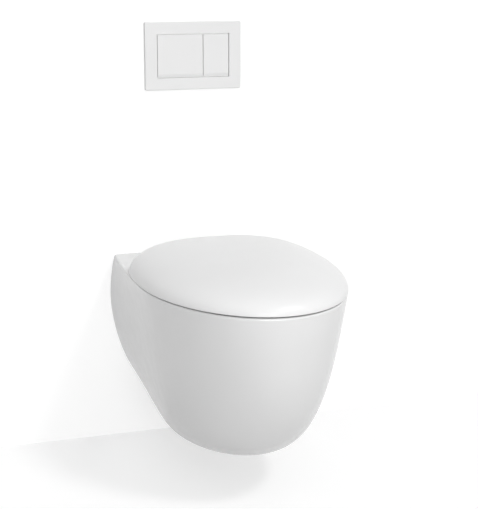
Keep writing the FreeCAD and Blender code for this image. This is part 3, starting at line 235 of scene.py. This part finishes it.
# A bead's foot lies this far under the surface that carries it.
SINK = 0.3 * MM
# Steps across a bead's half circle, along a straight bead and in one turn of a round one.
ARC_STEPS = 8
LINE_STEPS = 24
LOOP_STEPS = 48
# An open bead starts at this share of its size and grows to the full size over so many points.
BLUNT_END = 0.15
TAPER_POINTS = 3


def bead(name, path, outward, width, height, material, closed=False):
    """A half-round ridge along the path; outward gives the surface's normal at each of its points."""
    count = len(path)
    ring = ARC_STEPS + 1
    verts = []
    for i, point in enumerate(path):
        before = path[i - 1] if closed or i else point
        after = path[(i + 1) % count] if closed or i < count - 1 else point
        normal = outward[i].normalized()
        across = (after - before).cross(normal).normalized()
        size = 1.0 if closed else min(1.0, BLUNT_END + min(i, count - 1 - i) / TAPER_POINTS)
        for k in range(ring):
            turn = math.pi * k / ARC_STEPS
            rise = math.sin(turn) * height * size - SINK
            verts.append(point + across * math.cos(turn) * width / 2 * size + normal * rise)
    faces = []
    for i in range(count if closed else count - 1):
        here = i * ring
        there = (i + 1) % count * ring
        for k in range(ring):
            faces.append((here + k, here + (k + 1) % ring, there + (k + 1) % ring, there + k))
    if not closed:
        faces.append(tuple(range(ARC_STEPS, -1, -1)))
        faces.append(tuple(range((count - 1) * ring, count * ring)))
    mesh = bpy.data.meshes.new(name)
    mesh.from_pydata(verts, [], faces)
    mesh.polygons.foreach_set("use_smooth", [True] * len(faces))
    mesh.materials.append(material)
    obj = bpy.data.objects.new(name, mesh)
    scene.collection.objects.link(obj)
    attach(obj, "frame")


def line(start, end, normal):
    """Points from start to end, and the surface's normal at each."""
    points = [start.lerp(end, i / LINE_STEPS) for i in range(LINE_STEPS + 1)]
    return points, [normal] * len(points)


def loop(centre, radius, turns=1.0, pitch=0.0):
    """Points round the Z axis through centre, and the outward directions there. A pitch makes a helix."""
    points = []
    outward = []
    for i in range(round(LOOP_STEPS * turns) + (1 if pitch else 0)):
        turn = 2 * math.pi * i / LOOP_STEPS
        direction = Vector((math.cos(turn), math.sin(turn), 0))
        points.append(centre + direction * radius + Vector((0, 0, pitch * i / LOOP_STEPS)))
        outward.append(direction)
    return points, outward


# Stiffening ribs moulded across the tank's back.
RIBS = 5
RIB_WIDTH = 16 * MM
RIB_HEIGHT = 3 * MM
RIB_TO_SIDE = 34 * MM

tank_low, tank_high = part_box("cistern_tank")
rib_end = tank_high.x - RIB_TO_SIDE
for number in range(1, RIBS + 1):
    z = tank_low.z + (tank_high.z - tank_low.z) * number / (RIBS + 1)
    left = Vector((-rib_end, tank_high.y, z))
    right = Vector((rib_end, tank_high.y, z))
    path, outward = line(left, right, Vector((0, 1, 0)))
    bead("tank_rib_%d" % number, path, outward, RIB_WIDTH, RIB_HEIGHT, blown_polyethylene)

# Mould seam down both sides of the tank, halfway through its depth.
SEAM_WIDTH = 2 * MM
SEAM_HEIGHT = 1 * MM
SEAM_TO_EDGE = 26 * MM

seam_y = (tank_low.y + tank_high.y) / 2
for name, side in (("tank_seam_left", -1), ("tank_seam_right", 1)):
    x = tank_high.x * side
    foot = Vector((x, seam_y, tank_low.z + SEAM_TO_EDGE))
    top = Vector((x, seam_y, tank_high.z - SEAM_TO_EDGE))
    path, outward = line(foot, top, Vector((side, 0, 0)))
    bead(name, path, outward, SEAM_WIDTH, SEAM_HEIGHT, blown_polyethylene)

# Half-inch pipe thread cut on the supply nipple: fourteen turns to the inch.
THREAD_PITCH = 25.4 / 14 * MM
THREAD_LENGTH = 22 * MM
THREAD_TO_END = 0.5 * MM
THREAD_RADIUS = 10.45 * MM
THREAD_WIDTH = 1.3 * MM
THREAD_HEIGHT = 0.7 * MM

nipple_low, nipple_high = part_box("supply_nipple")
nipple_axis = (nipple_low + nipple_high) / 2
start = Vector((nipple_axis.x, nipple_axis.y, nipple_high.z - THREAD_LENGTH - THREAD_TO_END))
path, outward = loop(start, THREAD_RADIUS, turns=THREAD_LENGTH / THREAD_PITCH, pitch=THREAD_PITCH)
bead("supply_thread", path, outward, THREAD_WIDTH, THREAD_HEIGHT, turned_brass)

# Depth mark on the waste pipe, where the drain's socket ends.
MARK_TO_END = 62 * MM
MARK_WIDTH = 4 * MM
MARK_HEIGHT = 1.2 * MM

bend_low, bend_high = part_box("waste_bend")
waste_radius = (bend_high.x - bend_low.x) / 2
mark = Vector((0, bend_high.y - waste_radius, bend_low.z + MARK_TO_END))
path, outward = loop(mark, waste_radius)
bead("waste_depth_mark", path, outward, MARK_WIDTH, MARK_HEIGHT, extruded_pipe, closed=True)


# The room: a pale floor, and a finished wall that shows from the room's side only


def plane(name, corners, material):
    """A flat piece of the room, which is no part of the object."""
    mesh = bpy.data.meshes.new(name)
    mesh.from_pydata(corners, [], [(0, 1, 2, 3)])
    mesh.materials.append(material)
    obj = bpy.data.objects.new(name, mesh)
    scene.collection.objects.link(obj)


def background_rays(tree):
    """1 for the rays that show the background: the camera's, and those in gloss and glass."""
    rays = add(tree, "LightPath", {}).outputs
    larger = {"operation": "MAXIMUM"}
    shiny = add(tree, "Math", larger, _0=rays["Is Glossy Ray"], _1=rays["Is Transmission Ray"])
    every = add(tree, "Math", larger, _0=rays["Is Camera Ray"], _1=shiny.outputs[0])
    return every.outputs[0]


def room_paint(name, seen, glow, bounce=None):
    """Matt paint that shows lifted to white outside the shadows.

    bounce is the tone that other rays meet. With none, light passes, as does a look from behind, so
    that what stands behind the paint stays in sight and in the light.
    """
    material = bpy.data.materials.new(name)
    tree = empty_tree(material)
    matt = add(tree, "BsdfDiffuse", {}, Color=linear(seen))
    lift = add(tree, "Emission", {}, Color=WHITE, Strength=glow)
    lit = add(tree, "AddShader", {}, _0=matt.outputs[0], _1=lift.outputs[0])
    if bounce:
        other = add(tree, "BsdfDiffuse", {}, Color=linear(bounce))
    else:
        other = add(tree, "BsdfTransparent", {})
        behind = add(tree, "NewGeometry", {}).outputs["Backfacing"]
        lit = add(tree, "MixShader", {}, _0=behind, _1=lit.outputs[0], _2=other.outputs[0])
    rays = background_rays(tree)
    shown = add(tree, "MixShader", {}, _0=rays, _1=other.outputs[0], _2=lit.outputs[0])
    add(tree, "OutputMaterial", {}, Surface=shown.outputs[0])
    return material


# Reaches in metres: the floor runs past every view, the wall past the main one.
FLOOR_REACH = 40
WALL_REACH = 4

floor_paint = room_paint("floor_paint", seen="#C3C3C3", glow=0.56, bounce="#BCBCBC")
plane(
    "floor",
    [
        (-FLOOR_REACH, -FLOOR_REACH, 0),
        (FLOOR_REACH, -FLOOR_REACH, 0),
        (FLOOR_REACH, FLOOR_REACH, 0),
        (-FLOOR_REACH, FLOOR_REACH, 0),
    ],
    floor_paint,
)

# The pan's back rests on the finished wall.
wall_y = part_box("pan")[1].y
wall_paint = room_paint("wall_paint", seen="#BBBBBB", glow=0.575)
plane(
    "wall",
    [
        (-WALL_REACH, wall_y, 0),
        (WALL_REACH, wall_y, 0),
        (WALL_REACH, wall_y, WALL_REACH),
        (-WALL_REACH, wall_y, WALL_REACH),
    ],
    wall_paint,
)


# Soft studio light: a key from the upper right, two wide fills in front and a lamp behind

# The lamps aim at the middle of the pan's rim.
MIDDLE = Vector((0, -0.4, 0.4))


def lamp(name, place, strength, spread):
    """A distant lamp that shines from place; spread is its width in degrees, which softens shadows."""
    data = bpy.data.lights.new(name, "SUN")
    data.energy = strength
    data.angle = math.radians(spread)
    obj = bpy.data.objects.new(name, data)
    obj.location = place
    obj.rotation_euler = (MIDDLE - Vector(place)).to_track_quat("-Z", "Y").to_euler()
    scene.collection.objects.link(obj)


lamp("key", place=(1.1, -2.1, 3.0), strength=0.84, spread=11)
lamp("fill", place=(0.5, -3.4, 1.3), strength=0.25, spread=36)
lamp("low_fill", place=(-0.65, -3.4, 0.8), strength=1.36, spread=36)
lamp("rear", place=(0.8, 2.5, 1.05), strength=0.80, spread=30)

# The sky lights the object softly and shows as white behind it.
world = bpy.data.worlds.new("studio")
scene.world = world
sky = empty_tree(world)
ambient = add(sky, "Background", {}, Color=WHITE, Strength=0.48)
backdrop = add(sky, "Background", {}, Color=WHITE, Strength=1.0)
rays = background_rays(sky)
choice = add(sky, "MixShader", {}, _0=rays, _1=ambient.outputs[0], _2=backdrop.outputs[0])
add(sky, "OutputWorld", {}, Surface=choice.outputs[0])

# The camera stands left of the pan and above it, turned to the right and down.
CAMERA_PLACE = (-0.766, -2.644, 0.988)
DOWN_DEGREES = 12.73
RIGHT_DEGREES = 18.82
LENS_MM = 89.5
SENSOR_MM = 36

lens = bpy.data.cameras.new("camera")
lens.lens = LENS_MM
lens.sensor_width = SENSOR_MM
camera = bpy.data.objects.new("camera", lens)
camera.location = CAMERA_PLACE
camera.rotation_euler = (math.radians(90 - DOWN_DEGREES), 0, math.radians(-RIGHT_DEGREES))
scene.collection.objects.link(camera)
scene.camera = camera
